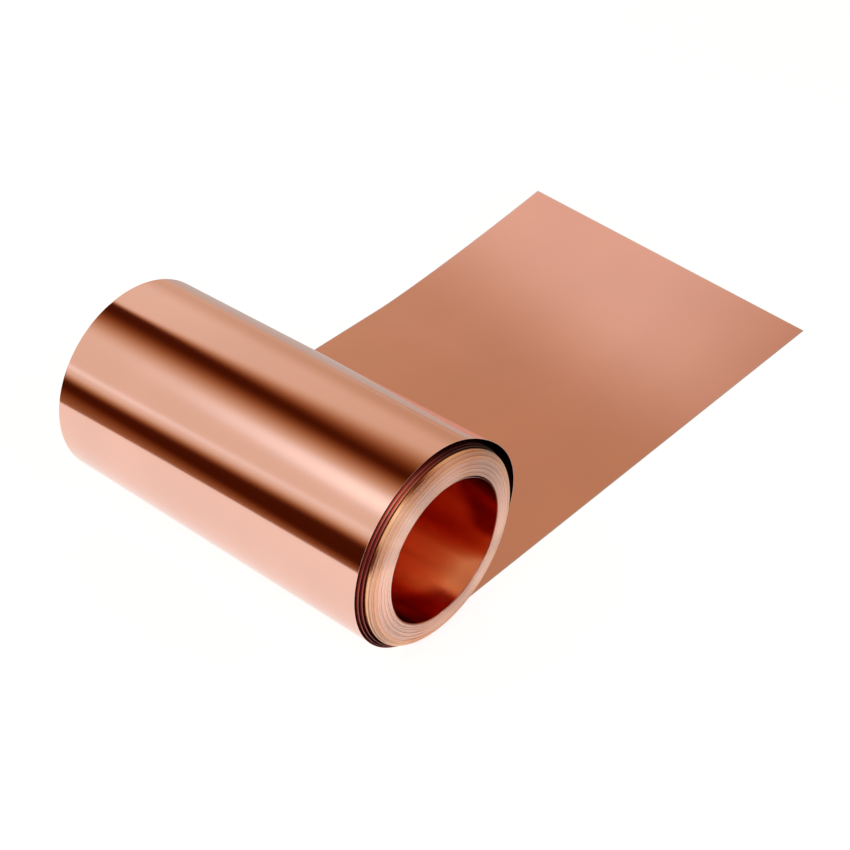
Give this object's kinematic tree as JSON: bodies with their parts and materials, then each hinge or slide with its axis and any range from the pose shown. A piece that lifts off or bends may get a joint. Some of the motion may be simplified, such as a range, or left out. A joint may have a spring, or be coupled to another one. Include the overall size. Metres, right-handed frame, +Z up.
{
  "type": "copper foil roll",
  "caption": "Roll of wide bare copper foil, coreless and loosely wound, partly unrolled so that its lead lies flat, with loose outer turns and an open bore.",
  "frame": {"origin": "on the table, under the middle of the whole object", "axes": "+X from the roll towards the free edge of the strip, +Y along the roll's axis away from the end whose turns stand out, +Z up"},
  "size_m": [0.3926, 0.2072, 0.1072],
  "materials": {
    "lead_sheet": "bright rolled copper foil, satin along the rolling direction",
    "free_end": "bright rolled copper foil, satin along the rolling direction",
    "outer_wrap": "bright rolled copper foil, satin along the rolling direction",
    "loose_turn_outer": "bright rolled copper foil, satin along the rolling direction",
    "loose_turn_inner": "bright rolled copper foil, satin along the rolling direction",
    "pack_outer": "wound copper foil, warmer and duller between the turns",
    "pack_middle": "wound copper foil, warmer and duller between the turns",
    "pack_inner": "wound copper foil, warmer and duller between the turns",
    "core_turn": "wound copper foil, warmer and duller between the turns"
  },
  "bodies": {
    "lead": {"lead_sheet": "lead_sheet"},
    "free_end": {"free_end": "free_end"},
    "roll": {"outer_wrap": "outer_wrap", "loose_turn_outer": "loose_turn_outer", "loose_turn_inner": "loose_turn_inner"},
    "pack": {"pack_outer": "pack_outer"},
    "pack_middle": {"pack_middle": "pack_middle"},
    "pack_inner": {"pack_inner": "pack_inner"},
    "core_turn": {"core_turn": "core_turn"}
  },
  "joints": [
    {"name": "roll_travel", "type": "slide", "parent": "lead", "child": "roll", "axis": [1, 0, 0], "range_m": [0, 0.125], "deforming": ["lead_sheet"]},
    {"name": "pack_turn", "type": "hinge", "parent": "roll", "child": "pack", "pos_m": [-0.14196, 0.0036, 0.05427], "axis": [0, 1, 0], "range_deg": [0, 134]},
    {"name": "pack_middle_slide", "type": "slide", "parent": "pack", "child": "pack_middle", "axis": [0, -1, 0], "range_m": [0, 0.02]},
    {"name": "pack_inner_slide", "type": "slide", "parent": "pack_middle", "child": "pack_inner", "axis": [0, -1, 0], "range_m": [0, 0.02]},
    {"name": "core_turn_slide", "type": "slide", "parent": "pack_inner", "child": "core_turn", "axis": [0, -1, 0], "range_m": [0, 0.02]},
    {"name": "free_end_lift", "type": "hinge", "parent": "lead", "child": "free_end", "pos_m": [0.04626, 0.0036, 0.0001], "axis": [0, -1, 0], "range_deg": [0, 75]}
  ],
  "couplings": [
    {"joint": "pack_turn", "follows": "roll_travel", "rad_per_m": 18.587},
    {"joint": "pack_inner_slide", "follows": "pack_middle_slide", "ratio": 1},
    {"joint": "core_turn_slide", "follows": "pack_middle_slide", "ratio": 1}
  ]
}
